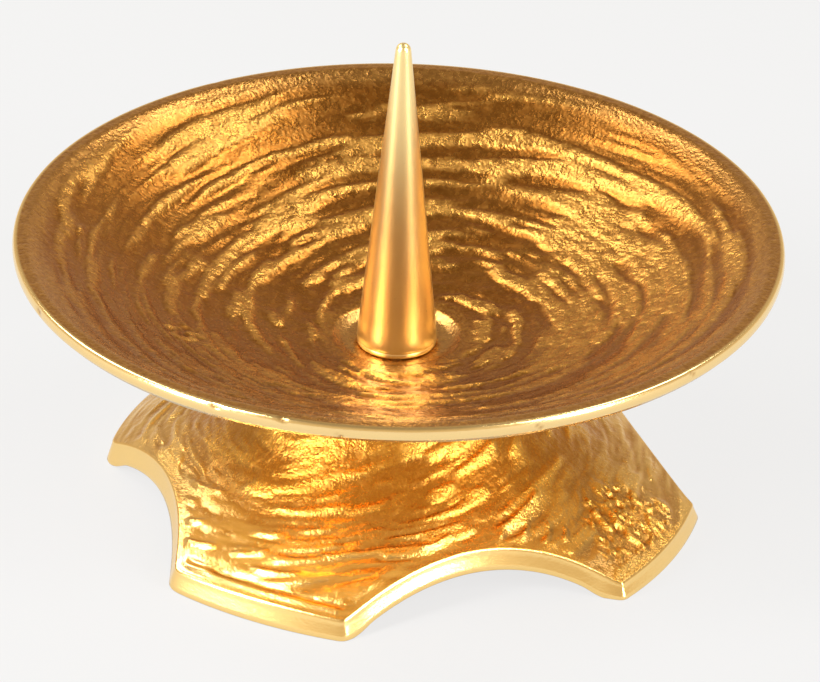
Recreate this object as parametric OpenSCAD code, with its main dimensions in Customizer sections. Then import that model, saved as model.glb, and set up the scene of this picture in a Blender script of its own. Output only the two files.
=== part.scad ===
// Altar candlestick: a cast drip dish on a four-footed cast base, with a turned spike for the candle.
// The spike, the dish and the base are clamped together by one threaded stud along the vertical axis.
// Millimetres, +Z up. The origin is on the table, under the axis.
// The feet point along +X, +Y, -X and -Y, give or take a degree.

/* [Dish] */
// Outer radius of the dish
dish_r = 75; // [70:0.5:90]
// Height of the rim above the table
rim_z = 56.8; // [54:0.2:64]
// Width of the flat land on top of the rim
rim_land = 3; // [2:0.2:5]
// Wall thickness of the dish
dish_wall = 3.9; // [2.8:0.1:4]
// Slope of the outer part of the dish, in degrees
dish_slope = 29; // [25:0.5:32]
// Radius of the spherical middle of the dish
dish_ball_r = 121.5; // [110:0.5:130]
// Radius of the recess that the spike stands in
seat_r = 12; // [10:0.5:16]
// Depth of that recess below the middle of the dish
seat_depth = 0.8; // [0.4:0.1:1.2]

/* [Spike] */
// Height of the spike above its seat
spike_h = 65; // [45:1:90]
// Radius at the bottom of the spike
spike_r = 7.9; // [7:0.1:10]
// Radius of the rounded tip
tip_r = 1.5; // [1:0.1:2.5]
// Rounding of the bottom edge
spike_edge = 1.2; // [0.5:0.1:2]

/* [Base] */
// Height of the joint between the base and the dish
joint_z = 30; // [29.5:0.1:30.6]
// Radius of the neck at the joint
neck_r = 22; // [20:0.5:24]
// Wall thickness of the bell under the neck
bell_wall = 3.4; // [3:0.1:4.5]
// Thickness of the hub plate at the top of the bell
hub_t = 6; // [5:0.5:8]
// Radius where the hollow flare turns into the domed skirt
flare_end_r = 46; // [44:0.5:50]
// Height of the outer surface at that radius
flare_end_z = 9.8; // [9:0.1:11]
// Slope of the outer surface at that radius, in degrees
flare_end_slope = 22.8; // [20:0.2:26]
// Radius of curvature of the flare
flare_curve_r = 54.4; // [50:0.2:60]
// Radius of curvature of the domed skirt
skirt_curve_r = 80; // [70:1:120]

/* [Feet] */
// Distance from the axis to the corners of each foot (+X, +Y, -X, -Y)
foot_reach = [58.5, 56.5, 55, 56]; // [50:0.5:60]
// Half of each foot's width
foot_half = [18, 18.5, 19, 19.5]; // [15:0.5:20]
// How far each foot's outer edge bows outwards between its corners
foot_bow = [2.2, 1.5, 2.6, 2.2]; // [0.4:0.1:3]
// How far each foot is turned from its quarter of the circle, counter-clockwise, in degrees
foot_turn = [0.6, 0, 0, -1.4]; // [-3:0.1:3]
// Depth of the scalloped edge between each foot and the next one
scallop = [3.8, 6, 5.5, 7.8]; // [3:0.1:10]
// Width of the flat strip under each foot that stands on the table
foot_strip = 3; // [2:0.5:8]
// Slope of the underside from that strip up into the hollow, in degrees
strip_slope = 35; // [25:1:60]

/* [Fasteners] */
// Nominal thread diameter of the stud
thread_d = 8; // [6:1:8]
// Thread pitch
thread_pitch = 1.25; // [1:0.25:1.25]
// Gap around the thread in the tapped holes
thread_gap = 0.05; // [0.03:0.01:0.1]
// Clearance hole for the stud in the dish and the base
clear_d = 9; // [8.6:0.1:10]
// How far the stud goes into the spike
stud_in_spike = 14; // [10:1:15]
// How far the stud stands out below the nut
stud_end = 2.9; // [1:0.1:5]
// Width of the nut across its flats
nut_af = 13; // [11:0.5:14]
// Height of the nut
nut_h = 6.5; // [5:0.5:7]
// Outer diameter of the plain washer
washer_d = 16; // [14:0.5:18]
// Thickness of the plain washer
washer_t = 1.6; // [1.2:0.1:2]
// Outer diameter of the spring washer
spring_d = 14.8; // [12.5:0.1:16]
// Thickness of the spring washer
spring_t = 2; // [1.5:0.1:2.4]

/* [Hidden] */
$fn = 128;
slack = 1; // how far a cutting shape runs past the material that it cuts

inner_rim_r = dish_r - rim_land;
ball_edge_r = dish_ball_r * sin(dish_slope);
cone_rise = (inner_rim_r - ball_edge_r) * tan(dish_slope);
ball_z = rim_z - cone_rise + dish_ball_r * cos(dish_slope);
dish_mid_z = ball_z - dish_ball_r;
seat_z = dish_mid_z - seat_depth;
rim_edge = 0.6;
face_low_z = rim_z + rim_land * tan(dish_slope) - dish_wall / cos(dish_slope);

tip_z = seat_z + spike_h;
spike_lean = asin((spike_r - tip_r) / (spike_h - tip_r));

hub_z = joint_z - hub_t;
flare_x = flare_end_r + flare_curve_r * sin(flare_end_slope);
flare_y = flare_end_z + flare_curve_r * cos(flare_end_slope);
skirt_x = flare_end_r - skirt_curve_r * sin(flare_end_slope);
skirt_y = flare_end_z - skirt_curve_r * cos(flare_end_slope);
neck_slope = asin((flare_x - neck_r) / flare_curve_r);
skirt_r = 64;
hollow_low_z = -6;

thread_r = thread_d / 2;
thread_depth = 0.61 * thread_pitch;
washer_z = hub_z - washer_t;
spring_z = washer_z - spring_t;
nut_z = spring_z - nut_h;
stud_low_z = nut_z - stud_end;
stud_top_z = seat_z + stud_in_spike;

// Points along an arc around [cx, cy], from angle a0 to angle a1, in steps that divide it evenly.
function arc_points(cx, cy, r, a0, a1, steps) =
    [for (i = [0 : steps]) let (a = a0 + (a1 - a0) * i / steps) [cx + r * cos(a), cy + r * sin(a)]];

// Outline points of a ring thread that climbs from z0 for n pitches.
function thread_points(z0, n) =
    [for (i = [0 : n - 1], side = [0 : 3])
        let (z = z0 + i * thread_pitch)
        [thread_r - (side == 0 || side == 3 ? thread_depth : 0),
            z + thread_pitch * [0.06, 0.44, 0.56, 0.94][side]]];

// Corner of foot i on one side (+1 or -1).
function foot_corner(i, side) =
    let (a = 90 * i + foot_turn[i % 4], x = foot_reach[i % 4], y = side * foot_half[i % 4])
    [x * cos(a) - y * sin(a), x * sin(a) + y * cos(a)];

module tapped_hole(z0, z1) {
    translate([0, 0, z0])
        cylinder(h = z1 - z0, r = thread_r + thread_gap);
}

module candle_spike() {
    bore_top = stud_top_z + 1;
    color([0.86, 0.66, 0.30])
        difference() {
            rotate_extrude()
                polygon(concat(
                    [[0, seat_z], [spike_r - spike_edge, seat_z]],
                    arc_points(spike_r - spike_edge, seat_z + spike_edge, spike_edge, -75, -15, 4),
                    [[spike_r, seat_z + spike_edge]],
                    arc_points(0, tip_z - tip_r, tip_r, spike_lean, 78, 6),
                    [[0, tip_z]]));
            tapped_hole(seat_z - slack, bore_top);
            translate([0, 0, bore_top - 0.01])
                cylinder(h = thread_r * 0.6, r1 = thread_r - 0.4, r2 = 0.2);
        }
}

module drip_dish() {
    color([0.70, 0.52, 0.27])
        difference() {
            union() {
                rotate_extrude()
                    polygon(concat(
                        [[0, dish_mid_z]],
                        arc_points(0, ball_z, dish_ball_r, -88, dish_slope - 90, 14),
                        [[inner_rim_r, rim_z], [dish_r - rim_edge, rim_z]],
                        arc_points(dish_r - rim_edge, rim_z - rim_edge, rim_edge, 75, 15, 4),
                        [[dish_r, rim_z - rim_edge], [dish_r, face_low_z + rim_edge]],
                        [[dish_r - rim_edge, face_low_z - rim_edge * tan(dish_slope)]],
                        arc_points(0, ball_z, dish_ball_r + dish_wall, dish_slope - 90, -88, 14),
                        [[0, dish_mid_z - dish_wall]]));
                translate([0, 0, joint_z])
                    cylinder(h = seat_z - joint_z + 0.4, r = neck_r);
            }
            translate([0, 0, seat_z])
                cylinder(h = rim_z, r = seat_r);
            translate([0, 0, joint_z - slack])
                cylinder(h = rim_z, d = clear_d);
        }
}

// Everything under the outer surface of the base, out past the feet.
module bell_envelope() {
    rotate_extrude()
        polygon(concat(
            [[0, 0], [0, joint_z], [neck_r, joint_z]],
            arc_points(flare_x, flare_y, flare_curve_r, 270 - neck_slope, 270 - flare_end_slope, 14),
            arc_points(skirt_x, skirt_y, skirt_curve_r,
                90 - flare_end_slope - 2, 90 - flare_end_slope - 12, 6),
            [[skirt_r, 0]]));
}

// The hollow inside the bell, under the hub plate.
module bell_hollow() {
    inner_r = flare_curve_r + bell_wall;
    top_slope = acos((flare_y - hub_z) / inner_r);
    rotate_extrude()
        polygon(concat(
            [[0, hollow_low_z], [0, hub_z]],
            arc_points(flare_x, flare_y, inner_r, 270 - top_slope, 270 - flare_end_slope, 14),
            arc_points(skirt_x, skirt_y, skirt_curve_r - bell_wall,
                90 - flare_end_slope - 2, 90 - flare_end_slope - 13, 6),
            [[skirt_r, hollow_low_z]]));
}

// The metal under one foot: flat from x0 outwards, and sloping up into the hollow on its inner side.
module foot_block(x0) {
    rise = 10;
    translate([0, skirt_r / 2, 0])
        rotate([90, 0, 0])
            linear_extrude(height = skirt_r)
                polygon([
                    [x0, hollow_low_z - slack], [x0, 0], [x0 - rise / tan(strip_slope), rise],
                    [2 * skirt_r, rise], [2 * skirt_r, hollow_low_z - slack]]);
}

// The plan of the base: four bowed foot edges, with a scallop between each foot and the next one.
module foot_plan() {
    difference() {
        intersection_for (i = [0 : 3]) {
            edge_r = (pow(foot_half[i], 2) + pow(foot_bow[i], 2)) / (2 * foot_bow[i]);
            rotate([0, 0, 90 * i + foot_turn[i]])
                translate([foot_reach[i] + foot_bow[i] - edge_r, 0, -slack])
                    cylinder(h = joint_z + 2 * slack, r = edge_r, $fn = 256);
        }
        for (i = [0 : 3]) {
            p = foot_corner(i, 1);
            q = foot_corner(i + 1, -1);
            chord = norm(q - p);
            cut_r = (chord * chord / 4 + scallop[i] * scallop[i]) / (2 * scallop[i]);
            mid = (p + q) / 2;
            out = [q[1] - p[1], p[0] - q[0]] / chord;
            centre = mid + out * (cut_r - scallop[i]);
            translate([centre[0], centre[1], -2 * slack])
                cylinder(h = joint_z + 4 * slack, r = cut_r);
        }
    }
}

module footed_base() {
    color([0.80, 0.58, 0.26])
        difference() {
            intersection() {
                bell_envelope();
                foot_plan();
            }
            difference() {
                bell_hollow();
                for (i = [0 : 3])
                    rotate([0, 0, 90 * i + foot_turn[i]])
                        foot_block(foot_reach[i] - foot_strip);
            }
            translate([0, 0, hub_z - slack])
                cylinder(h = hub_t + 2 * slack, d = clear_d);
        }
}

module tie_stud() {
    root_r = thread_r - thread_depth;
    low_turns = floor((hub_z - stud_low_z - 1.2) / thread_pitch);
    high_turns = floor((stud_in_spike - 2) / thread_pitch);
    low_z0 = stud_low_z + 0.8;
    high_z0 = seat_z + 1.2;
    color([0.72, 0.74, 0.76])
        rotate_extrude()
            polygon(concat(
                [[0, stud_low_z], [root_r - 0.3, stud_low_z], [root_r, stud_low_z + 0.5]],
                thread_points(low_z0, low_turns),
                [[thread_r, low_z0 + low_turns * thread_pitch + 0.4], [thread_r, high_z0 - 0.4]],
                thread_points(high_z0, high_turns),
                [[root_r, stud_top_z - 0.5], [root_r - 0.3, stud_top_z], [0, stud_top_z]]));
}

module plain_washer() {
    color([0.72, 0.74, 0.76])
        translate([0, 0, washer_z])
            difference() {
                cylinder(h = washer_t, d = washer_d);
                translate([0, 0, -slack])
                    cylinder(h = washer_t + 2 * slack, d = thread_d + 0.4);
            }
}

module spring_washer() {
    color([0.55, 0.57, 0.60])
        translate([0, 0, spring_z])
            difference() {
                cylinder(h = spring_t, d = spring_d);
                translate([0, 0, -slack])
                    cylinder(h = spring_t + 2 * slack, d = thread_d + 0.3);
                translate([spring_d / 2 - 2, 0, spring_t / 2])
                    rotate([20, 0, 40])
                        cube([spring_d, 1, 4 * spring_t], center = true);
            }
}

module hex_nut() {
    corner_r = nut_af / sqrt(3);
    bevel = corner_r - nut_af / 2;
    color([0.72, 0.74, 0.76])
        translate([0, 0, nut_z])
            difference() {
                intersection() {
                    cylinder(h = nut_h, r = corner_r, $fn = 6);
                    rotate_extrude()
                        polygon([
                            [0, 0], [nut_af / 2 - 0.1, 0], [corner_r + 0.2, bevel * 0.62],
                            [corner_r + 0.2, nut_h - bevel * 0.62], [nut_af / 2 - 0.1, nut_h], [0, nut_h]]);
                }
                translate([0, 0, -slack])
                    cylinder(h = nut_h + 2 * slack, r = thread_r + thread_gap);
            }
}

candle_spike();
drip_dish();
footed_base();
tie_stud();
plain_washer();
spring_washer();
hex_nut();
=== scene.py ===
"""Altar candlestick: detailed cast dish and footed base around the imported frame, in metres, +Z up."""
import math

import bpy
import numpy as np
from mathutils import Matrix, Vector


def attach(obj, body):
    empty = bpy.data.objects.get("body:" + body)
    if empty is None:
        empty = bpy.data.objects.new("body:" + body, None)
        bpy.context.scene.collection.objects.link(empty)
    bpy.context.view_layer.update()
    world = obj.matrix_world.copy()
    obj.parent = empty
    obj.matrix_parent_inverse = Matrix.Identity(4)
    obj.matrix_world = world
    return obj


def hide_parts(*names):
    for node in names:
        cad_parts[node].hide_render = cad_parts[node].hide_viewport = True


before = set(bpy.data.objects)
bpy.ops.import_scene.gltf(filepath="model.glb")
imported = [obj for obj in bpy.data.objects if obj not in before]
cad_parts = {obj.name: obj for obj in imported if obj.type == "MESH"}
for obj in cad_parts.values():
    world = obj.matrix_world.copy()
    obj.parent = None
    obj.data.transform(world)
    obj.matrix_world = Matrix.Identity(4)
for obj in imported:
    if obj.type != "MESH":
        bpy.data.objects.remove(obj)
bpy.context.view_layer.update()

MM = 0.001
# Degrees from the frame's +X axis to the view's rightward axis. Angles called view angles below start
# from that axis and run anticlockwise seen from above.
VIEW_TURN = 26.0
TAU = 2 * math.pi

# ---------------------------------------------------------------- camera

# Angles in degrees, the lens in millimetres, and distances in metres.
CAMERA_ELEVATION = 29.28
CAMERA_ROLL = 1.4
CAMERA_DISTANCE = 1.2
CAMERA_LENS = 268.7
SENSOR_WIDTH = 36
FAR_CLIP = 200
AIM_RIGHT = 0.00262
AIM_UP = 0.03341


def add_camera():
    turn = math.radians(VIEW_TURN)
    lift = math.radians(CAMERA_ELEVATION)
    roll = math.radians(CAMERA_ROLL)
    right = Vector((math.cos(turn), math.sin(turn), 0))
    back = Vector((math.sin(turn) * math.cos(lift), -math.cos(turn) * math.cos(lift), math.sin(lift)))
    up = back.cross(right)
    aim = right * AIM_RIGHT + Vector((0, 0, AIM_UP))
    x_axis = right * math.cos(roll) + up * math.sin(roll)
    y_axis = up * math.cos(roll) - right * math.sin(roll)
    data = bpy.data.cameras.new("camera")
    data.lens = CAMERA_LENS
    data.sensor_width = SENSOR_WIDTH
    data.clip_end = FAR_CLIP
    camera = bpy.data.objects.new("camera", data)
    bpy.context.scene.collection.objects.link(camera)
    place = Matrix((x_axis, y_axis, back)).transposed().to_4x4()
    place.translation = aim + back * CAMERA_DISTANCE
    camera.matrix_world = place
    bpy.context.scene.camera = camera


add_camera()

# ---------------------------------------------------------------- noise


def lattice(i, j, seed):
    """A repeatable value from 0 to 1 for each whole-number cell."""
    n = i.astype(np.int64).astype(np.uint64) * np.uint64(374761393)
    n = n + j.astype(np.int64).astype(np.uint64) * np.uint64(668265263) + np.uint64(seed * 144269)
    for shift, factor in ((13, 1274126177), (16, 2246822519), (15, 3266489917)):
        n = (n ^ (n >> np.uint64(shift))) & np.uint64(0xFFFFFFFF)
        n = (n * np.uint64(factor)) & np.uint64(0xFFFFFFFF)
    return (n ^ (n >> np.uint64(16))).astype(float) / 0xFFFFFFFF


def noise(u, v, seed, wrap=0):
    """Smooth value noise from 0 to 1. With wrap, it repeats every wrap cells along u."""
    i, j = np.floor(u), np.floor(v)
    fu, fv = u - i, v - j
    fu, fv = fu * fu * (3 - 2 * fu), fv * fv * (3 - 2 * fv)
    i0, i1 = (i % wrap, (i + 1) % wrap) if wrap else (i, i + 1)
    low = lattice(i0, j, seed) * (1 - fu) + lattice(i1, j, seed) * fu
    high = lattice(i0, j + 1, seed) * (1 - fu) + lattice(i1, j + 1, seed) * fu
    return low * (1 - fv) + high * fv


def strokes(a, v, count, width, seed):
    """Long streaks from 0 to 1, count of them round the axis and about width across, at turn a.

    a is a share of a full turn, v a distance from the axis, and seed picks the pattern.
    """
    return noise(a * count, v / width, seed, count)


def crumble(x, y, size, seed):
    """Two octaves of grain, about size across."""
    return 0.65 * noise(x / size, y / size, seed) + 0.35 * noise(x / size * 2.1, y / size * 2.1, seed + 1)


def ramp(low, high, x):
    """A smooth step from 0 at low to 1 at high."""
    t = np.clip((x - low) / (high - low), 0, 1)
    return t * t * (3 - 2 * t)


def hump(x, centre, width):
    """A rounded bump of height 1 at centre."""
    return np.exp(-(((x - centre) / width) ** 2))


def turn_gap(a, b):
    """Signed difference of two angles in degrees."""
    return (a - b + 180) % 360 - 180


# ---------------------------------------------------------------- mesh from a closed grid


def grid_piece(name, rows_xyz, crest, polish, material, node, capped=False):
    """A closed piece from rows of points in millimetres that run round the axis.

    The last row joins the first, or with capped, each end is closed with one face.
    """
    rows, cols = crest.shape
    index = np.arange(rows * cols).reshape(rows, cols)
    below = np.roll(index, -1, axis=0)
    faces = np.stack([index, np.roll(index, -1, axis=1), np.roll(below, -1, axis=1), below], axis=-1)
    faces = faces[:-1] if capped else faces
    ends = [index[0, ::-1].tolist(), index[-1].tolist()] if capped else []
    faces = faces.reshape(-1, 4)
    mesh = bpy.data.meshes.new(name)
    mesh.from_pydata((rows_xyz.reshape(-1, 3) * MM).tolist(), [], faces.tolist() + ends)
    for label, values in (("crest", crest), ("polish", polish)):
        attribute = mesh.attributes.new(label, "FLOAT", "POINT")
        attribute.data.foreach_set("value", values.astype(np.float32).ravel())
    mesh.polygons.foreach_set("use_smooth", [True] * len(mesh.polygons))
    mesh.validate()
    mesh.materials.append(material)
    piece = bpy.data.objects.new(name, mesh)
    bpy.context.scene.collection.objects.link(piece)
    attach(piece, "root")
    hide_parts(node)


# ---------------------------------------------------------------- materials

BLOTCH_MM = 14  # size of the broad drift in tint and gloss on the castings
SPECK_TIMES = 2.6  # size of the specks, in grains
CAST_ROUGH_SPREAD = 0.35
POLISHED_ROUGH_SPREAD = 0.12
PIT_LEVEL = 0.74  # noise above this is a small dark pit in the turned metal

class Nodes:
    """Short names for building one material's node tree."""

    def __init__(self, name):
        self.material = bpy.data.materials.new(name)
        self.material.use_nodes = True
        self.tree = self.material.node_tree
        self.shader = self.tree.nodes["Principled BSDF"]

    def add(self, kind, **settings):
        node = self.tree.nodes.new(kind)
        for key, value in settings.items():
            setattr(node, key, value)
        return node

    def link(self, source, target):
        self.tree.links.new(source, target)

    def put(self, socket, value):
        if isinstance(value, bpy.types.NodeSocket):
            self.link(value, socket)
        else:
            socket.default_value = value

    def math(self, operation, a, b=0.0, clamp=False):
        node = self.add("ShaderNodeMath", operation=operation, use_clamp=clamp)
        self.put(node.inputs[0], a)
        self.put(node.inputs[1], b)
        return node.outputs[0]

    def mix(self, factor, a, b):
        node = self.add("ShaderNodeMix", data_type="RGBA")
        self.put(node.inputs["Factor"], factor)
        self.put(node.inputs[6], (*a, 1) if isinstance(a, tuple) else a)
        self.put(node.inputs[7], (*b, 1) if isinstance(b, tuple) else b)
        return node.outputs[2]

    def lerp(self, factor, a, b):
        node = self.add("ShaderNodeMix", data_type="FLOAT")
        self.put(node.inputs["Factor"], factor)
        self.put(node.inputs[2], a)
        self.put(node.inputs[3], b)
        return node.outputs[0]

    def field(self, name):
        return self.add("ShaderNodeAttribute", attribute_name=name).outputs["Fac"]

    def noise(self, size_mm, detail=3.0, stretch=(1, 1, 1)):
        place = self.add("ShaderNodeMapping")
        place.inputs["Scale"].default_value = stretch
        self.link(self.add("ShaderNodeTexCoord").outputs["Object"], place.inputs["Vector"])
        node = self.add("ShaderNodeTexNoise")
        self.link(place.outputs["Vector"], node.inputs["Vector"])
        node.inputs["Scale"].default_value = 1 / (size_mm * MM)
        node.inputs["Detail"].default_value = detail
        return node.outputs["Fac"]

    def bump(self, height, depth_mm, strength):
        node = self.add("ShaderNodeBump")
        node.inputs["Distance"].default_value = depth_mm * MM
        self.put(node.inputs["Strength"], strength)
        self.link(height, node.inputs["Height"])
        return node.outputs["Normal"]


def cast_metal(name, valley, crest, polished, grain_mm, grain_depth, rough_cast, rough_polished):
    """Cast bronze: dark smooth valleys, granular bright crests, and polished edges."""
    n = Nodes(name)
    grain = n.noise(grain_mm, 4)
    blotch = n.noise(BLOTCH_MM, 3)
    speck = n.noise(grain_mm * SPECK_TIMES, 3)
    raised = n.field("crest")
    shine = n.field("polish")
    spread = n.math("MULTIPLY", n.math("SUBTRACT", grain, 0.5), 2.2)
    level = n.math("ADD", n.math("MULTIPLY", raised, 0.85), n.math("MULTIPLY", spread, 0.55), clamp=True)
    colour = n.mix(level, valley, crest)
    tint = n.math("MULTIPLY", n.math("SUBTRACT", blotch, 0.35, clamp=True), 0.8)
    dull = tuple(0.5 * (a + b) * 0.8 for a, b in zip(valley, crest))
    colour = n.mix(tint, colour, dull)
    pale = n.mix(n.math("MULTIPLY", blotch, 0.35), polished, tuple(0.82 * c for c in polished))
    n.link(n.mix(shine, colour, pale), n.shader.inputs["Base Color"])
    n.shader.inputs["Metallic"].default_value = 1
    rough_drift = n.math("MULTIPLY", n.math("SUBTRACT", speck, 0.5), CAST_ROUGH_SPREAD)
    rough = n.math("ADD", rough_cast, rough_drift)
    smooth_drift = n.math("MULTIPLY", n.math("SUBTRACT", blotch, 0.5), POLISHED_ROUGH_SPREAD)
    rough_smooth = n.math("ADD", rough_polished, smooth_drift)
    n.link(n.lerp(shine, rough, rough_smooth), n.shader.inputs["Roughness"])
    height = n.math("ADD", grain, n.math("MULTIPLY", speck, 0.8))
    strength = n.lerp(shine, n.math("ADD", n.math("MULTIPLY", raised, 0.65), 0.3), 0.08)
    n.link(n.bump(height, grain_depth, strength), n.shader.inputs["Normal"])
    return n.material


def turned_metal(name, colour, shade, rough, ring_mm, depth_mm, stretch=(0.05, 0.05, 1)):
    """Smooth metal: fine marks round or along the axis, faint specks, and slight colour drift."""
    n = Nodes(name)
    rings = n.noise(ring_mm, 2, stretch)
    speck = n.noise(0.9, 3)
    drift = n.noise(12, 2)
    pit = n.math("GREATER_THAN", speck, PIT_LEVEL)
    base = n.mix(n.math("MULTIPLY", drift, 0.7), colour, shade)
    dark = tuple(0.45 * c for c in shade)
    n.link(n.mix(n.math("MULTIPLY", pit, 0.45), base, dark), n.shader.inputs["Base Color"])
    n.shader.inputs["Metallic"].default_value = 1
    rings_rough = n.math("ADD", rough, n.math("MULTIPLY", n.math("SUBTRACT", rings, 0.5), 0.08))
    n.link(rings_rough, n.shader.inputs["Roughness"])
    n.link(n.bump(rings, depth_mm, 0.5), n.shader.inputs["Normal"])
    return n.material


def use_material(node, material):
    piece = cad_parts[node]
    piece.data.materials.clear()
    piece.data.materials.append(material)


dish_metal = cast_metal("dish_bronze", valley=(0.34, 0.123, 0.018), crest=(0.82, 0.43, 0.095),
                        polished=(1.0, 0.72, 0.32), grain_mm=0.75, grain_depth=0.3,
                        rough_cast=0.27, rough_polished=0.18)
base_metal = cast_metal("base_bronze", valley=(0.46, 0.18, 0.022), crest=(0.92, 0.52, 0.09),
                        polished=(0.97, 0.66, 0.25), grain_mm=0.5, grain_depth=0.34,
                        rough_cast=0.27, rough_polished=0.21)
spike_metal = turned_metal("spike_brass", colour=(0.99, 0.78, 0.37), shade=(0.98, 0.76, 0.34), rough=0.31,
                           ring_mm=0.7, depth_mm=0.0006, stretch=(1, 1, 1))
zinc = turned_metal("zinc_plate", colour=(0.62, 0.62, 0.6), shade=(0.5, 0.5, 0.48), rough=0.38,
                    ring_mm=0.4, depth_mm=0.02)
dark_steel = turned_metal("spring_steel", colour=(0.24, 0.24, 0.25), shade=(0.17, 0.17, 0.18), rough=0.45,
                          ring_mm=0.4, depth_mm=0.02)
use_material("spring_washer", dark_steel)
for fastener in ("tie_stud", "plain_washer", "hex_nut"):
    use_material(fastener, zinc)

# ---------------------------------------------------------------- drip dish

# Sizes from here on are in millimetres, from the axis or from the table.
DISH_R = 75.0
RIM_Z = 56.8
LAND = 3.0
WALL = 3.9
SLOPE = math.radians(29)
BALL_R = 121.5
SEAT_R = 12.0
BOSS_R = 22.0
BOSS_CHAMFER = 0.4
JOINT_Z = 30.0
HOLE_R = 4.5
INNER_R = DISH_R - LAND
BALL_EDGE_R = BALL_R * math.sin(SLOPE)
BALL_Z = RIM_Z - (INNER_R - BALL_EDGE_R) * math.tan(SLOPE) + BALL_R * math.cos(SLOPE)
SEAT_Z = BALL_Z - BALL_R - 0.8
SEAT_EDGE_R = SEAT_R + 0.7
SEAT_FILLET = 3.1
RIM_ROUND = 0.9
DISH_COLS = 640
ROSETTE_VIEW = 200.5
ROSETTE_R = 43.8

# Small raised marks near the rim: view angle, radius, length and height.
BOWL_MARKS = ((172.5, 63.0, 1.6, 0.7), (176.0, 64.8, 1.0, 0.5))

# Dents in the rim's outer face: view angle, length and depth under the rim's top.
RIM_DENTS = ((243.9, 0.9, 0.6), (254.0, 0.6, 0.3), (262.5, 0.35, 2.2), (291.0, 0.35, 1.6),
             (318.0, 0.4, 0.8), (205.0, 0.7, 1.2), (121.0, 0.8, 0.5), (38.0, 0.6, 1.4))


def bowl_z(r, wall=0.0):
    """Height of the bowl's surface, wall millimetres under its inner face."""
    edge = (BALL_R + wall) * math.sin(SLOPE)
    ball = BALL_Z - np.sqrt((BALL_R + wall) ** 2 - np.minimum(r, edge) ** 2)
    return ball + np.maximum(r - edge, 0) * math.tan(SLOPE)


def dish_relief(r, turn):
    """Height and crest of the brushed-on strokes inside the bowl."""
    a = turn / TAU
    view = np.degrees(turn) - VIEW_TURN
    drift = 5.0 * (strokes(a, r, 5, 22, 3) - 0.5) + 2.2 * (strokes(a, r, 14, 9, 4) - 0.5)
    v = r + drift + 7.0 * np.sin(np.radians(view - 100))
    wide = strokes(a, v, 12, 2.3, 11)
    middle = strokes(a, v, 27, 1.5, 12)
    fine = strokes(a, v, 58, 0.95, 13)
    patches = strokes(a, r, 7, 11, 14)
    # Strokes on the left wall are finer, and their crests there are painted darker as painted shade.
    combed_and_shaded = hump(turn_gap(view, 216), 0, 58) * ramp(24, 48, r)
    line = (0.52 - 0.2 * combed_and_shaded) * wide + 0.33 * middle + (0.15 + 0.2 * combed_and_shaded) * fine
    line = line + 0.2 * (patches - 0.5)
    crest = ramp(0.47, 0.6, line) * (1 - 0.55 * combed_and_shaded)
    x, y = r * np.cos(turn), r * np.sin(turn)
    grain = crumble(x, y, 1.25, 21)
    fade = ramp(13.2, 17, r) * (1 - ramp(67.5, 71.0, r))
    height = 0.36 * ramp(0.42, 0.64, line) + 0.28 * (middle - 0.5) + 0.2 * (fine - 0.5)
    height = height + (0.06 + 0.3 * crest) * (grain - 0.5)
    crest = np.clip(crest * (0.3 + 1.25 * grain), 0, 1)
    from_rosette = np.hypot(r - ROSETTE_R, np.radians(turn_gap(view, ROSETTE_VIEW)) * ROSETTE_R)
    rosette = 1 - ramp(2.6, 4.8, from_rosette)
    coarse = crumble(x, y, 1.4, 40)
    height = height * (1 - rosette) + rosette * 1.2 * (coarse - 0.5)
    crest = crest * (1 - rosette) + rosette * ramp(0.45, 0.7, coarse)
    for at, radius, length, rise in BOWL_MARKS:
        mark = hump(np.radians(turn_gap(view, at)) * radius, 0, length) * hump(r, radius, 0.5)
        height = height + rise * mark
        crest = np.maximum(crest, mark)
    return height * fade, crest * fade + 0.3 * (1 - fade)


def rim_nicks(turn, z):
    """Small dents in the upper edge of the rim's outer face, from 0 to 1."""
    view = np.degrees(turn) - VIEW_TURN
    dents = np.zeros(z.shape)
    for at, length, low in RIM_DENTS:
        along = np.radians(turn_gap(view, at)) * DISH_R
        dent = hump(along + 0.7 * (z - RIM_Z + low), 0, length) * hump(z, RIM_Z - low, 0.55)
        dents = np.maximum(dents, dent)
    return dents


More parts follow.
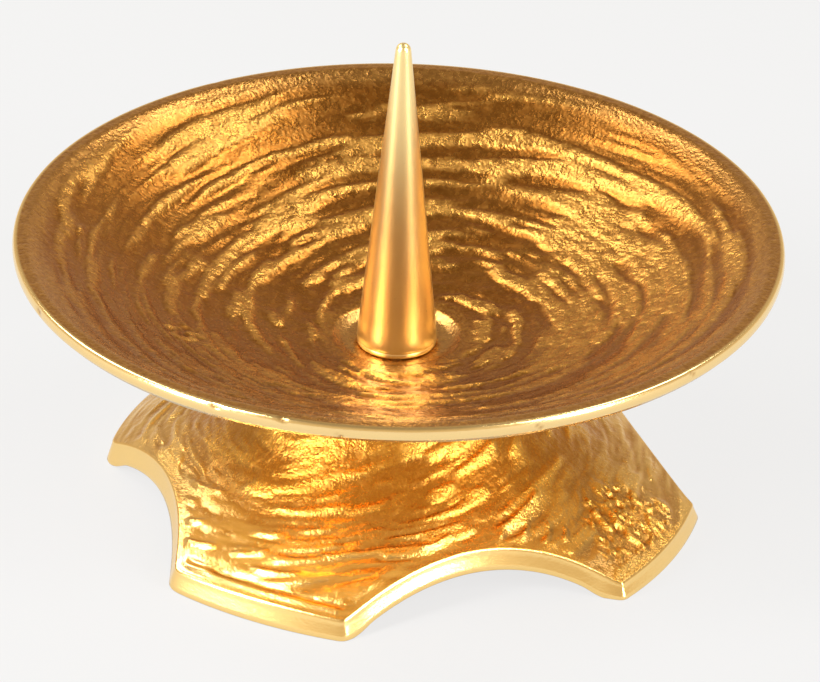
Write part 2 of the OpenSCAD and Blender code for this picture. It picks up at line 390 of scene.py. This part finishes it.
def build_dish():
    """The dish as one closed profile: hub, underside, rim, land, bowl and seat, turned round the axis."""
    turn = np.arange(DISH_COLS) * TAU / DISH_COLS
    face_low = RIM_Z + LAND * math.tan(SLOPE) - WALL / math.cos(SLOPE)
    profile = []  # radius, height, polish and kind of each row
    for r in (HOLE_R, 12.0, BOSS_R - BOSS_CHAMFER):
        profile.append((r, JOINT_Z, 0.0, "plain"))
    profile.append((BOSS_R, JOINT_Z + BOSS_CHAMFER, 0.0, "plain"))
    profile.append((BOSS_R, bowl_z(BOSS_R, WALL) - 0.4, 0.0, "plain"))
    for r in np.linspace(BOSS_R + 0.5, DISH_R - 1.2, 9):
        profile.append((r, bowl_z(r, WALL), 0.9, "under"))
    rim_mid = 0.5 * (face_low + 0.1 + RIM_Z)
    rim_half = 0.5 * (RIM_Z - face_low - 0.1)
    for k in range(13):
        t = math.radians(-84 + 14 * k)
        out = math.cos(t) ** 0.6
        r = DISH_R - RIM_ROUND + RIM_ROUND * out
        profile.append((r, rim_mid + rim_half * math.sin(t), 1.0, "rim"))
    for r in np.linspace(DISH_R - 1.1, INNER_R + 0.15, 4):
        profile.append((r, RIM_Z, 0.08, "land"))
    profile.append((INNER_R, RIM_Z - 0.08, 0.08, "land"))
    for r in np.linspace(INNER_R - 0.25, SEAT_EDGE_R, 110):
        profile.append((r, bowl_z(r), 0.0, "bowl"))
    seat_top = bowl_z(SEAT_EDGE_R)
    for t in np.linspace(0.12, 1, 7):
        drop = math.sin(t * math.pi / 2)
        z = SEAT_Z + (seat_top - SEAT_Z) * (1 - drop)
        profile.append((SEAT_EDGE_R - SEAT_FILLET * t, z, 0.15, "seat"))
    profile.append((HOLE_R, SEAT_Z, 0.0, "seat"))
    ones = np.ones((1, DISH_COLS))
    r, z, polish = (np.array([p[k] for p in profile])[:, None] * ones for k in range(3))
    bowl, under, rim, land = (np.array([p[3] == kind for p in profile])[:, None] & (ones > 0)
                              for kind in ("bowl", "under", "rim", "land"))
    t = np.ones((len(profile), 1)) * turn[None, :]
    height, crest = dish_relief(r, t)
    # The bowl's crests in a narrow strip straight in front are painted paler and glossier: a painted
    # reflection of the spike.
    painted_spike_reflection = hump(turn_gap(np.degrees(t) - VIEW_TURN, 270), 0, 9)
    polish = np.where(bowl, 0.08 * ramp(67.5, 71.0, r) + 0.3 * painted_spike_reflection * crest, polish)
    crest = np.where(bowl, crest, np.where(land, 0.3, np.where(under, 0.6, 0.35)))
    dents = rim_nicks(t, z) * rim
    r = r - 0.3 * dents
    z = z + np.where(bowl, height, 0)
    polish = polish * (1 - 0.9 * dents)
    crest = crest * (1 - dents)
    xyz = np.stack([r * np.cos(t), r * np.sin(t), z], axis=-1)
    grid_piece("dish_casting", xyz, crest, polish, dish_metal, "drip_dish")


build_dish()

# ---------------------------------------------------------------- spike

SPIKE_RISE = 65.0
SPIKE_TOP = SEAT_Z + SPIKE_RISE
SPIKE_R = 7.9
TAPER_START = 1.6
TAPER_START_R = SPIKE_R - 0.05
TIP_R = 1.5
BORE_R = 4.05
BORE_TOP = SEAT_Z + 15.0
SPIKE_COLS = 128

# The spike's foot, as radius and height above the seat, with its turned seam line.
SPIKE_FOOT = ((7.6, 0), (7.74, 0.1), (7.8, 0.3), (7.82, 0.8), (7.76, 0.95), (7.7, 1.03), (7.77, 1.12),
              (7.84, 1.35))


def build_spike():
    """The spike with its bore, from the bore's drilled end, out over the foot and up to the rounded tip."""
    lean = math.asin((SPIKE_R - TIP_R) / (SPIKE_RISE - TIP_R))
    profile = [(0.1, BORE_TOP + 2.4), (BORE_R, BORE_TOP), (BORE_R, SEAT_Z)]
    profile += [(r, SEAT_Z + up) for r, up in SPIKE_FOOT]
    tip_join = SPIKE_TOP - TIP_R + TIP_R * math.sin(lean)
    for s in np.linspace(0, 1, 60):
        z = SEAT_Z + TAPER_START + (tip_join - SEAT_Z - TAPER_START) * s
        profile.append((TAPER_START_R + (TIP_R * math.cos(lean) - TAPER_START_R) * s, z))
    for k in range(1, 9):
        t = lean + (math.radians(87) - lean) * k / 8
        profile.append((TIP_R * math.cos(t), SPIKE_TOP - TIP_R + TIP_R * math.sin(t)))
    turn = np.arange(SPIKE_COLS) * TAU / SPIKE_COLS
    r = np.array([p[0] for p in profile])[:, None]
    z = np.array([p[1] for p in profile])[:, None] * np.ones((1, SPIKE_COLS))
    xyz = np.stack([r * np.cos(turn), r * np.sin(turn), z], axis=-1)
    blank = np.zeros(z.shape)
    grid_piece("spike_turned", xyz, blank, blank, spike_metal, "candle_spike",
               capped=True)


build_spike()

# ---------------------------------------------------------------- footed base

NECK_R = 22.0
HUB_Z = 24.0
FLARE_END_R = 46.0
FLARE_END_Z = 9.8
FLARE_SLOPE = math.radians(22.8)
FLARE_R = 54.4
SKIRT_R = 80.0
BELL_WALL = 3.7  # measured straight down; 3.4 square to a wall at FLARE_SLOPE

# One value for each foot, from the one on +X round towards +Y, and for the scallop that follows it.
FOOT_REACH = (58.5, 56.5, 55.0, 56.0)
FOOT_HALF = (18.0, 18.5, 19.0, 19.5)
FOOT_BOW = (2.2, 1.5, 2.6, 2.2)
FOOT_TURN = (0.6, 0.0, 0.0, -1.4)
SCALLOP = (3.8, 6.0, 5.5, 7.8)
SCALLOP_LEAN = (0.0, 0.0, 0.0, 0.5)

EDGE_DRAFT = 1.7
FOOT_STRIP = 3.0
STRIP_SLOPE = math.tan(math.radians(35))
CORNER_IN = 0.6  # how far the low corner's rounding reaches in from the outline
BLEND_LENGTH = 7  # along the outline, from a foot's full block to the open scallop
SKIRT_FLOOR = 3.3  # least height of the skirt's outer face, before its relief
HOLLOW_NECK_R = 22.2
FOOT_COLS = 76
SCALLOP_COLS = 114
WORN_VIEW = 226.5  # the worn corner of the front foot
CRUST_VIEW = 333  # the crusted patch on the right-hand foot
FRONT_FOOT_VIEW = 242.6

# Corners that wear has rounded more than the rest: frame angle and smoothing passes.
WORN_CORNERS = ((270 - 20.7, 16), (180 + 19.1, 10))


def bell_z(r):
    """Height of the base's outer surface before its relief."""
    flare_x = FLARE_END_R + FLARE_R * math.sin(FLARE_SLOPE)
    flare_y = FLARE_END_Z + FLARE_R * math.cos(FLARE_SLOPE)
    skirt_x = FLARE_END_R - SKIRT_R * math.sin(FLARE_SLOPE)
    skirt_y = FLARE_END_Z - SKIRT_R * math.cos(FLARE_SLOPE)
    flare = flare_y - np.sqrt(FLARE_R ** 2 - (flare_x - np.minimum(r, FLARE_END_R)) ** 2)
    skirt = skirt_y + np.sqrt(SKIRT_R ** 2 - (np.maximum(r, FLARE_END_R) - skirt_x) ** 2)
    return np.where(r < FLARE_END_R, flare, skirt)


def smooth_loop(points, passes, where=None):
    """Rounds a closed outline a little by averaging neighbours."""
    for _ in range(passes):
        soft = 0.25 * np.roll(points, 1, axis=0) + 0.5 * points + 0.25 * np.roll(points, -1, axis=0)
        points = soft if where is None else np.where(where[:, None], soft, points)
    return points


def foot_outline():
    """The bottom outline, its outward normals, and how far each point is from a foot, in millimetres."""
    points, off_foot = [], []
    for i in range(4):
        j = (i + 1) % 4
        turn = math.radians(90 * i + FOOT_TURN[i])
        after = math.radians(90 * (i + 1) + FOOT_TURN[j])
        spin = np.array([[math.cos(turn), -math.sin(turn)], [math.sin(turn), math.cos(turn)]])
        spin_next = np.array([[math.cos(after), -math.sin(after)], [math.sin(after), math.cos(after)]])
        t = np.linspace(-1, 1, FOOT_COLS, endpoint=False)
        foot = np.stack([FOOT_REACH[i] + FOOT_BOW[i] * (1 - t * t), FOOT_HALF[i] * t], axis=1) @ spin.T
        p = spin @ np.array([FOOT_REACH[i], FOOT_HALF[i]])
        q = spin_next @ np.array([FOOT_REACH[j], -FOOT_HALF[j]])
        s = np.linspace(0, 1, SCALLOP_COLS, endpoint=False)[:, None]
        out = np.array([q[1] - p[1], p[0] - q[0]]) / np.linalg.norm(q - p)
        arc = p + (q - p) * s - out * 4 * SCALLOP[i] * s * (1 - s) * (1 + SCALLOP_LEAN[i] * (s - 0.5))
        points += [foot, arc]
        along = np.linalg.norm(q - p) * s[:, 0]
        off_foot += [np.zeros(FOOT_COLS), np.minimum(along, along[::-1])]
    points = smooth_loop(np.concatenate(points), 7)
    corner = np.degrees(np.arctan2(points[:, 1], points[:, 0]))
    for at, passes in WORN_CORNERS:
        points = smooth_loop(points, passes, np.abs(turn_gap(corner, at)) < 4.5)
    along = np.roll(points, -1, axis=0) - np.roll(points, 1, axis=0)
    normal = np.stack([along[:, 1], -along[:, 0]], axis=1) / np.linalg.norm(along, axis=1)[:, None]
    return points, smooth_loop(normal, 3), np.concatenate(off_foot)


# Raised tool marks on the bell: view angle and radius at each end, width and height in millimetres.
TOOL_MARKS = (
    (204, 43.4, 218, 40.6, 0.55, 0.6), (205, 46.8, 214, 45.0, 0.5, 0.45), (212, 50.5, 221, 47.2, 0.6, 0.7),
    (217, 53.2, 229, 50.0, 0.7, 0.8), (232, 50.4, 241, 47.2, 0.6, 0.5), (238, 51.6, 251, 50.0, 0.5, 0.5),
    (170, 43.6, 192, 41.6, 0.5, 0.45), (170, 47.4, 184, 45.4, 0.5, 0.4), (176, 39.4, 195, 37.2, 0.45, 0.4),
    (298, 41.5, 321, 37.0, 0.7, 0.85), (295, 45.2, 303, 40.0, 0.55, 0.6), (302, 45.6, 310, 40.8, 0.55, 0.6),
    (309, 46.6, 315, 43.0, 0.5, 0.55), (314, 48.0, 318, 45.0, 0.5, 0.5), (322, 45.0, 331, 41.0, 0.5, 0.4),
    (60, 44.0, 78, 41.5, 0.6, 0.6), (96, 50.0, 110, 46.5, 0.6, 0.6), (28, 46.0, 42, 43.0, 0.55, 0.5),
    (128, 45.0, 146, 42.0, 0.5, 0.5), (252, 45.5, 262, 43.5, 0.5, 0.45), (276, 43.0, 287, 40.5, 0.5, 0.5),
)


def tool_marks(view, r):
    """Height of the raised tool marks, each one tapering to both ends."""
    height = np.zeros(r.shape)
    for view0, r0, view1, r1, width, rise in TOOL_MARKS:
        middle = 0.5 * (view0 + view1)
        mean_r = 0.5 * (r0 + r1)
        half_span = 0.5 * (view1 - view0)
        s = turn_gap(view, middle) / half_span
        off = r - mean_r - 0.5 * (r1 - r0) * s - 0.5 * (1 - s * s)
        height = np.maximum(height, rise * hump(off, 0, width) * (1 - ramp(0.55, 1.05, np.abs(s))))
    return height


def base_relief(x, y, edge_gap):
    """Height, crest and polish of the tooled strokes on the bell.

    edge_gap is the distance in from the skirt's edge.
    """
    r = np.hypot(x, y)
    turn = np.arctan2(y, x) % TAU
    a = turn / TAU
    view = np.degrees(turn) - VIEW_TURN
    drift = 6.0 * (strokes(a, r, 6, 16, 53) - 0.5) + 2.6 * (strokes(a, r, 16, 7, 54) - 0.5)
    v = r + drift + 9.0 * np.sin(np.radians(view - 290))
    ridges = ramp(0.42, 0.72, strokes(a, v, 30, 1.35, 61))
    middle = strokes(a, v, 46, 1.1, 62)
    fine = strokes(a, v, 74, 0.75, 65)
    marks = tool_marks(view, r)
    patches = ramp(0.25, 0.65, strokes(a, r, 9, 8, 63))
    crest = ridges * (0.4 + 0.6 * patches) + 0.5 * (middle - 0.5) + 0.4 * (fine - 0.5) + marks
    crest = np.clip(crest, 0, 1)
    grain = crumble(x, y, 1.0, 71)
    height = 0.42 * ridges * (0.35 + 0.65 * patches) + 0.24 * (middle - 0.5) + 0.2 * (fine - 0.5)
    height = height + 0.14 * (grain - 0.5) + marks

    # The crusted patch is 12.5 mm round and 8.5 mm outward from its centre to its edge.
    crust_gap = np.hypot(np.radians(turn_gap(view, CRUST_VIEW)) * 51 / 12.5, (r - 51.5) / 8.5)
    crust = 1 - ramp(0.7, 1.15, crust_gap + 0.7 * (crumble(x, y, 3.2, 81) - 0.5))
    winding = 1 - np.abs(2 * noise((x + 0.8 * y) / 2.5, (y - 0.3 * x) / 1.7, 82) - 1)
    lumps = ramp(0.62, 0.95, winding)
    pits = ramp(0.72, 0.9, noise(x / 0.9, y / 0.9, 84))
    rough_top = 0.75 * lumps + 0.5 * (crumble(x, y, 1.3, 83) - 0.5) - 0.4 * pits
    height = height * (1 - crust) + crust * rough_top
    crest = crest * (1 - crust) + crust * np.clip(lumps + 0.15 - 0.6 * pits, 0, 1)

    # The worn corner is a smooth patch of 5.5 by 4 mm each way, with one low fold across it.
    worn_gap = np.hypot(np.radians(turn_gap(view, WORN_VIEW)) * 56 / 5.5, (r - 56.5) / 4.0)
    worn = 1 - ramp(0.6, 1.25, worn_gap)
    fold = hump(r - 56.4 + 0.22 * turn_gap(view, WORN_VIEW), 0, 0.7)
    height = height * (1 - worn) + worn * (0.2 + 0.5 * fold)

    # A thin lip and a groove run just inside the front foot's edge.
    on_front_foot = 1 - ramp(16.5, 19.0, np.abs(turn_gap(view, FRONT_FOOT_VIEW)))
    lip = on_front_foot * hump(edge_gap, 1.3, 0.55)
    groove = on_front_foot * hump(edge_gap, 2.4, 0.5)
    fade = ramp(0.5, 2.6, edge_gap) * ramp(NECK_R, NECK_R + 2, r)

    # Handling has polished the skirt more than the neck. The same polish also paints light: the pale skirt
    # is partly a painted highlight, the darker, more saturated neck under the dish is painted shade, and
    # the duller patch round view angle 330 on the right-hand foot is painted shade too.
    wear_and_painted_light = (0.08 + 0.66 * ramp(34, 50, r)) * (1 - 0.6 * crust) * (0.85 + 0.9 * (fine - 0.5))
    wear_and_painted_light = wear_and_painted_light * (1 - 0.45 * hump(turn_gap(view, 330), 0, 30))
    polish = np.maximum(wear_and_painted_light, np.maximum(0.95 * worn, 0.9 * lip))
    height = height * fade + 0.3 * lip - 0.28 * groove
    return height, np.clip(crest - 0.7 * groove, 0, 1), polish


def build_base():
    """The base as one closed skin: joint face, bell, filed edge, feet, hollow and hub plate."""
    bottom, normal, off_foot = foot_outline()
    cols = len(bottom)
    top = bottom - EDGE_DRAFT * normal
    top_r = np.hypot(top[:, 0], top[:, 1])
    heading = top / top_r[:, None]
    rows, crest_rows, polish_rows = [], [], []

    def add(xy, z, crest, polish):
        rows.append(np.concatenate([xy, np.broadcast_to(z, (cols,))[:, None]], axis=1))
        crest_rows.append(np.broadcast_to(crest, (cols,)))
        polish_rows.append(np.broadcast_to(polish, (cols,)))

    for r in (HOLE_R, 14.0, NECK_R - 0.3):
        add(heading * r, JOINT_Z, 0.3, 0.3)
    for s in np.linspace(0, 1, 92) ** 0.92:
        r = NECK_R + (top_r - NECK_R) * s
        xy = heading * r[:, None]
        height, crest, polish = base_relief(xy[:, 0], xy[:, 1], top_r - r)
        z = (bell_z(r) ** 4 + SKIRT_FLOOR ** 4) ** 0.25  # a soft maximum of the two
        add(xy, z + height, crest, polish)
    top_z = rows[-1][:, 2]
    bottom_r = np.hypot(bottom[:, 0], bottom[:, 1])
    off_block = ramp(0, BLEND_LENGTH, off_foot)
    low_z = np.maximum(bell_z(bottom_r) - BELL_WALL, 0) * off_block
    add(top + normal * 0.35, top_z - 0.14, 0.4, 0.8)
    add(top + normal * 0.55, top_z - 0.42, 0.4, 1.0)
    for s in np.linspace(0, 1, 5):
        xy = top + normal * (0.6 + (EDGE_DRAFT - 0.65) * s)
        add(xy, (top_z - 0.8) * (1 - s) + (low_z + 0.45) * s, 0.4, 1.0)
    add(bottom - normal * 0.2, low_z + 0.1, 0.4, 1.0)
    add(bottom - normal * CORNER_IN, low_z, 0.3, 0.7)

    # Under a foot, the underside runs flat for the strip and then rises inward to meet the hollow.
    low_heading = bottom / bottom_r[:, None]
    on_foot = 1 - off_block
    for s in np.linspace(0.02, 1, 20):
        r = bottom_r - CORNER_IN + (HOLLOW_NECK_R - bottom_r + CORNER_IN) * s
        inward = bottom_r - r
        z = np.maximum(bell_z(r) - BELL_WALL, 0)
        block = np.maximum(inward - FOOT_STRIP, 0) * STRIP_SLOPE
        z = np.where(on_foot > 0, np.minimum(z, block) * on_foot + z * (1 - on_foot), z)
        add(low_heading * r[:, None], np.minimum(z, HUB_Z), 0.25, 0.0)
    add(low_heading * (HOLLOW_NECK_R - 0.8), HUB_Z, 0.25, 0.0)
    add(low_heading * 12.0, HUB_Z, 0.25, 0.2)
    add(low_heading * HOLE_R, HUB_Z, 0.25, 0.2)
    grid_piece("base_casting", np.array(rows), np.array(crest_rows), np.array(polish_rows),
               base_metal, "footed_base")


build_base()

# ---------------------------------------------------------------- floor and light

# In metres from here on.
FLOOR_HALF = 60.0
FLOOR_GLOW = 0.76
LIGHT_AIM = (0, 0, 0.045)
ROOM_TINT = (1.0, 0.84, 0.62, 1)
ROOM_LOW_LIGHT = 0.76
ROOM_HIGH_LIGHT = 0.34


def add_floor():
    corners = [(x * FLOOR_HALF, y * FLOOR_HALF, 0) for x, y in ((-1, -1), (1, -1), (1, 1), (-1, 1))]
    mesh = bpy.data.meshes.new("floor")
    mesh.from_pydata(corners, [], [(0, 1, 2, 3)])
    n = Nodes("floor_white")
    n.shader.inputs["Base Color"].default_value = (0.05, 0.05, 0.05, 1)
    n.shader.inputs["Roughness"].default_value = 0.9
    n.shader.inputs["Emission Color"].default_value = (1, 1, 1, 1)
    n.shader.inputs["Emission Strength"].default_value = FLOOR_GLOW
    mesh.materials.append(n.material)
    floor = bpy.data.objects.new("floor", mesh)
    bpy.context.scene.collection.objects.link(floor)


def add_light(name, side, elevation, distance, size, power):
    """An area light aimed at the dish. side is degrees from the view, positive to its right."""
    turn = math.radians(VIEW_TURN + side)
    lift = math.radians(elevation)
    away = Vector((math.sin(turn) * math.cos(lift), -math.cos(turn) * math.cos(lift), math.sin(lift)))
    data = bpy.data.lights.new(name, "AREA")
    data.shape = "RECTANGLE"
    data.size, data.size_y = size
    data.energy = power
    light = bpy.data.objects.new(name, data)
    bpy.context.scene.collection.objects.link(light)
    light.matrix_world = away.to_track_quat("Z", "Y").to_matrix().to_4x4()
    light.location = Vector(LIGHT_AIM) + away * distance


def add_world():
    """A warm room, brighter near the horizon than overhead."""
    world = bpy.data.worlds.new("studio")
    world.use_nodes = True
    tree = world.node_tree
    split = tree.nodes.new("ShaderNodeSeparateXYZ")
    height = tree.nodes.new("ShaderNodeMapRange")
    height.inputs["From Min"].default_value = 0.1
    height.inputs["From Max"].default_value = 0.95
    height.inputs["To Min"].default_value = ROOM_LOW_LIGHT
    height.inputs["To Max"].default_value = ROOM_HIGH_LIGHT
    tree.links.new(tree.nodes.new("ShaderNodeTexCoord").outputs["Generated"], split.inputs["Vector"])
    tree.links.new(split.outputs["Z"], height.inputs["Value"])
    tree.links.new(height.outputs["Result"], tree.nodes["Background"].inputs["Strength"])
    tree.nodes["Background"].inputs["Color"].default_value = ROOM_TINT
    bpy.context.scene.world = world


add_floor()
add_light("left_softbox", -58, 26, 0.9, (0.26, 0.8), 16)
add_light("right_softbox", 52, 24, 0.9, (0.22, 0.8), 11)
add_light("left_high", -119, 46, 0.9, (0.4, 0.36), 3.3)
add_light("right_high", 124, 56, 0.9, (0.3, 0.3), 2.2)
add_world()
bpy.context.scene.view_settings.view_transform = "Standard"
